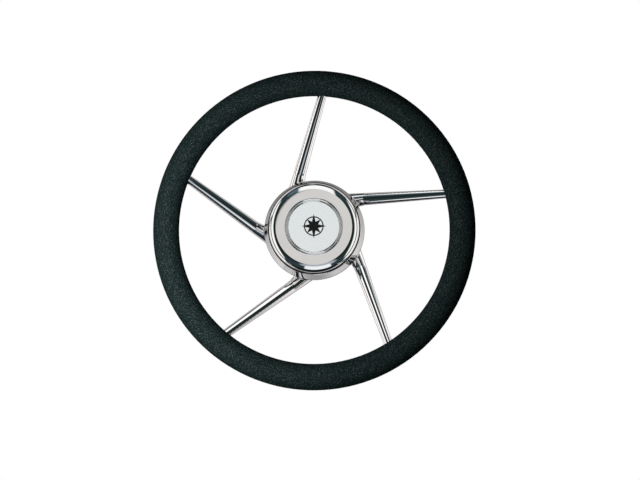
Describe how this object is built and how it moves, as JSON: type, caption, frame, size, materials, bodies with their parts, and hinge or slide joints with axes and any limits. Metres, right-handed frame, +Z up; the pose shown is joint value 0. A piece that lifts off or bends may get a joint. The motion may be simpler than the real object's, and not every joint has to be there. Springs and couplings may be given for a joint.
{
  "type": "boat steering wheel",
  "caption": "Round boat steering wheel: a padded grip on tapered, swirled polished-steel spokes welded to a round hub cup, with a snap-in domed cap over a tapered shaft bore.",
  "frame": {"origin": "centre of the hub's rear face on the wheel's axis, where the tapered bore is widest", "axes": "+Y along the wheel's axis, away from the driver and into the helm, so the driver's side faces -Y; +Z up as the wheel is mounted; +X to the driver's right"},
  "size_m": [0.35, 0.076, 0.35],
  "materials": {
    "grip_foam": "moulded polyurethane with a fine leather grain, matt black",
    "polished_steel": "mirror-polished stainless steel",
    "turned_steel": "turned stainless steel, fine concentric marks",
    "tube_steel": "bare drawn stainless tube",
    "black_plastic": "moulded black nylon",
    "satin_silver": "satin anodised aluminium"
  },
  "bodies": {
    "root": {"rim_tube": "tube_steel", "grip": "grip_foam", "spoke_1": "polished_steel", "spoke_2": "polished_steel", "spoke_3": "polished_steel", "spoke_4": "polished_steel", "spoke_5": "polished_steel", "hub_cup": "polished_steel", "hub_boss": "turned_steel", "cap_shell": "polished_steel", "cap_snap_ring": "black_plastic", "badge_bezel": "polished_steel", "badge_disc": "satin_silver"}
  },
  "joints": []
}
